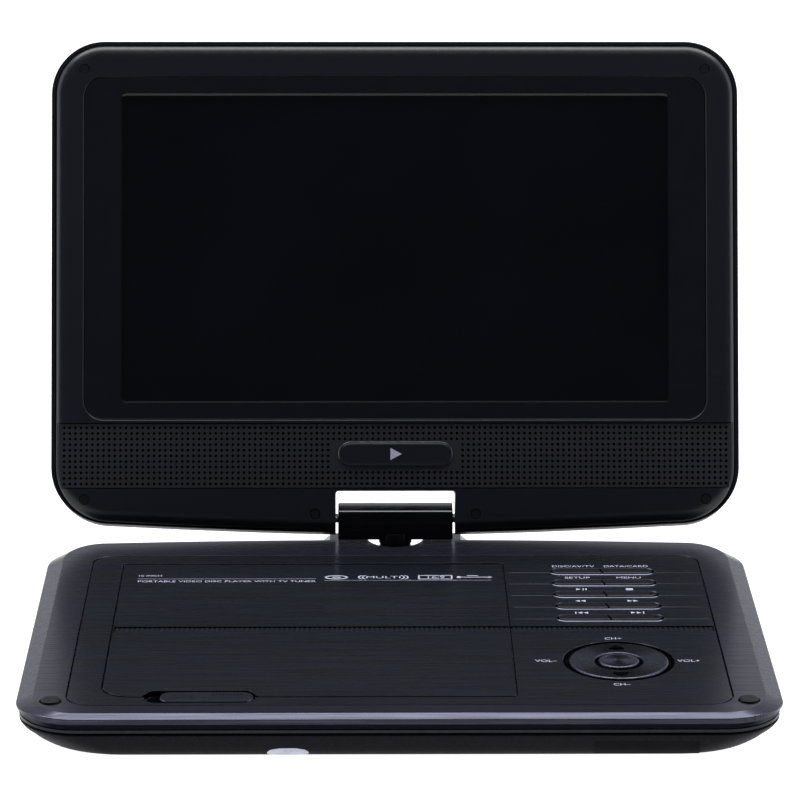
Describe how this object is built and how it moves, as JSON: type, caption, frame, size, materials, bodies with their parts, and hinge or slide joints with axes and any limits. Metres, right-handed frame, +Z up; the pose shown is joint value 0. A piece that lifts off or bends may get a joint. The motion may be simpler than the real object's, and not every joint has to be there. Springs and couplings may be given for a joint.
{
  "type": "portable disc player",
  "caption": "Portable video disc player: flat base with a hinged disc door, pill keys and a ring pad, and a wide screen lid that tilts and swivels on a hinge block.",
  "frame": {"origin": "middle of the footprint of the open player, on the table under the rubber feet", "axes": "+Z up, +X to the right across the screen, -Y towards the user; the swivel axis stands 63.9 mm behind the origin"},
  "size_m": [0.28, 0.267, 0.2151],
  "materials": {
    "shell_plastic": "fine satin moulded black",
    "trim_gloss": "glossy dark band between the shells",
    "brushed_shell": "hairline brushed dark blue black under clear lacquer",
    "brushed_panel": "hairline brushed dark blue black under clear lacquer",
    "slider_metal": "satin dark grey with ribs",
    "ring_metal": "spun dark anodised, radial glints",
    "key_gloss": "high gloss black",
    "port_plastic": "plain black",
    "steel": "bright steel",
    "window_plastic": "dark infrared window",
    "rubber_pad": "soft black rubber",
    "board": "green circuit board",
    "battery_wrap": "shrink wrap",
    "hub_plastic": "satin black moulding",
    "neck_metal": "black painted steel",
    "block_gloss": "piano black",
    "lid_plastic": "satin gloss black",
    "bezel_plastic": "satin gloss blue black",
    "frame_gloss": "gloss black screen surround",
    "screen_glass": "dark screen, off",
    "grille_metal": "perforated dark grille",
    "badge_metal": "dark pill badge with a fine rim, blank",
    "print_silver": "silver grey printing and pale sticker",
    "lens_glass": "coated pickup lens"
  },
  "bodies": {
    "base": {"lower_shell": "shell_plastic", "trim_ring": "trim_gloss", "top_shell": "brushed_shell", "top_panel": "brushed_panel", "dc_jack": "port_plastic", "phones_jack": "port_plastic", "av_jack": "port_plastic", "usb_port": "steel", "remote_window": "window_plastic", "bumper_left": "rubber_pad", "bumper_right": "rubber_pad", "foot_rear_left": "rubber_pad", "foot_front_left": "rubber_pad", "foot_rear_right": "rubber_pad", "foot_front_right": "rubber_pad", "main_board": "board", "key_board": "board", "battery_pack": "battery_wrap", "drive_frame": "shell_plastic", "guide_rod_left": "steel", "guide_rod_right": "steel", "spindle_motor": "steel", "sled_motor": "steel", "swivel_seat": "port_plastic"},
    "hinge_block": {"swivel_shaft": "neck_metal", "hinge_front_cover": "block_gloss", "hinge_rear_cover": "block_gloss", "tilt_pin_left": "steel", "tilt_pin_right": "steel"},
    "lid": {"lid_back_shell": "lid_plastic", "lid_front_bezel": "bezel_plastic", "screen_frame": "frame_gloss", "screen_panel": "screen_glass", "speaker_grille": "grille_metal", "badge": "badge_metal", "speaker_left": "port_plastic", "speaker_right": "port_plastic", "display_board": "board", "screw_cap_low_left": "rubber_pad", "screw_cap_low_right": "rubber_pad", "screw_cap_high_left": "rubber_pad", "screw_cap_high_right": "rubber_pad"},
    "disc_door": {"disc_door": "brushed_panel"},
    "open_slider": {"open_slider": "slider_metal"},
    "nav_ring": {"nav_ring": "ring_metal"},
    "ok_button": {"ok_button": "ring_metal"},
    "power_switch": {"power_switch": "key_gloss"},
    "turntable": {"turntable": "hub_plastic"},
    "pickup_sled": {"pickup_sled": "hub_plastic"},
    "lead_screw": {"lead_screw": "steel"},
    "key_left_1": {"key_left_1": "key_gloss"},
    "key_left_2": {"key_left_2": "key_gloss"},
    "key_left_3": {"key_left_3": "key_gloss"},
    "key_left_4": {"key_left_4": "key_gloss"},
    "key_left_5": {"key_left_5": "key_gloss"},
    "key_right_1": {"key_right_1": "key_gloss"},
    "key_right_2": {"key_right_2": "key_gloss"},
    "key_right_3": {"key_right_3": "key_gloss"},
    "key_right_4": {"key_right_4": "key_gloss"},
    "key_right_5": {"key_right_5": "key_gloss"}
  },
  "joints": [
    {"name": "swivel", "type": "hinge", "parent": "base", "child": "hinge_block", "pos_m": [0, 0.06391, 0.021], "axis": [0, 0, 1], "range_deg": [-180, 0]},
    {"name": "lid_tilt", "type": "hinge", "parent": "hinge_block", "child": "lid", "pos_m": [0, 0.06391, 0.0295], "axis": [-1, 0, 0], "range_deg": [-108.8, 71.2]},
    {"name": "door_hinge", "type": "hinge", "parent": "base", "child": "disc_door", "pos_m": [0, 0.03071, 0.02], "axis": [-1, 0, 0], "range_deg": [0, 60]},
    {"name": "open_slide", "type": "slide", "parent": "base", "child": "open_slider", "axis": [-1, 0, 0], "range_m": [0, 0.0041], "stiffness_N_per_m": 300, "springref_m": -0.001},
    {"name": "ring_press", "type": "slide", "parent": "base", "child": "nav_ring", "axis": [0, 0, -1], "range_m": [0, 0.0006], "stiffness_N_per_m": 2500, "springref_m": -0.0002},
    {"name": "ok_press", "type": "slide", "parent": "base", "child": "ok_button", "axis": [0, 0, -1], "range_m": [0, 0.0008], "stiffness_N_per_m": 2500, "springref_m": -0.0002},
    {"name": "power_slide", "type": "slide", "parent": "base", "child": "power_switch", "axis": [0, -1, 0], "range_m": [0, 0.004]},
    {"name": "disc_spin", "type": "hinge", "parent": "base", "child": "turntable", "pos_m": [-0.0331, -0.04129, 0.0158], "axis": [0, 0, 1], "continuous": true},
    {"name": "sled_slide", "type": "slide", "parent": "base", "child": "pickup_sled", "axis": [0, -1, 0], "range_m": [0, 0.0315]},
    {"name": "screw_spin", "type": "hinge", "parent": "base", "child": "lead_screw", "pos_m": [-0.0126, -0.06609, 0.0089], "axis": [0, 1, 0], "continuous": true},
    {"name": "key_left_1_press", "type": "slide", "parent": "base", "child": "key_left_1", "axis": [0, 0, -1], "range_m": [0, 0.0008], "stiffness_N_per_m": 2500, "springref_m": -0.0002},
    {"name": "key_left_2_press", "type": "slide", "parent": "base", "child": "key_left_2", "axis": [0, 0, -1], "range_m": [0, 0.0008], "stiffness_N_per_m": 2500, "springref_m": -0.0002},
    {"name": "key_left_3_press", "type": "slide", "parent": "base", "child": "key_left_3", "axis": [0, 0, -1], "range_m": [0, 0.0008], "stiffness_N_per_m": 2500, "springref_m": -0.0002},
    {"name": "key_left_4_press", "type": "slide", "parent": "base", "child": "key_left_4", "axis": [0, 0, -1], "range_m": [0, 0.0008], "stiffness_N_per_m": 2500, "springref_m": -0.0002},
    {"name": "key_left_5_press", "type": "slide", "parent": "base", "child": "key_left_5", "axis": [0, 0, -1], "range_m": [0, 0.0008], "stiffness_N_per_m": 2500, "springref_m": -0.0002},
    {"name": "key_right_1_press", "type": "slide", "parent": "base", "child": "key_right_1", "axis": [0, 0, -1], "range_m": [0, 0.0008], "stiffness_N_per_m": 2500, "springref_m": -0.0002},
    {"name": "key_right_2_press", "type": "slide", "parent": "base", "child": "key_right_2", "axis": [0, 0, -1], "range_m": [0, 0.0008], "stiffness_N_per_m": 2500, "springref_m": -0.0002},
    {"name": "key_right_3_press", "type": "slide", "parent": "base", "child": "key_right_3", "axis": [0, 0, -1], "range_m": [0, 0.0008], "stiffness_N_per_m": 2500, "springref_m": -0.0002},
    {"name": "key_right_4_press", "type": "slide", "parent": "base", "child": "key_right_4", "axis": [0, 0, -1], "range_m": [0, 0.0008], "stiffness_N_per_m": 2500, "springref_m": -0.0002},
    {"name": "key_right_5_press", "type": "slide", "parent": "base", "child": "key_right_5", "axis": [0, 0, -1], "range_m": [0, 0.0008], "stiffness_N_per_m": 2500, "springref_m": -0.0002}
  ],
  "couplings": [
    {"joint": "screw_spin", "follows": "sled_slide", "rad_per_m": 2094.4}
  ]
}
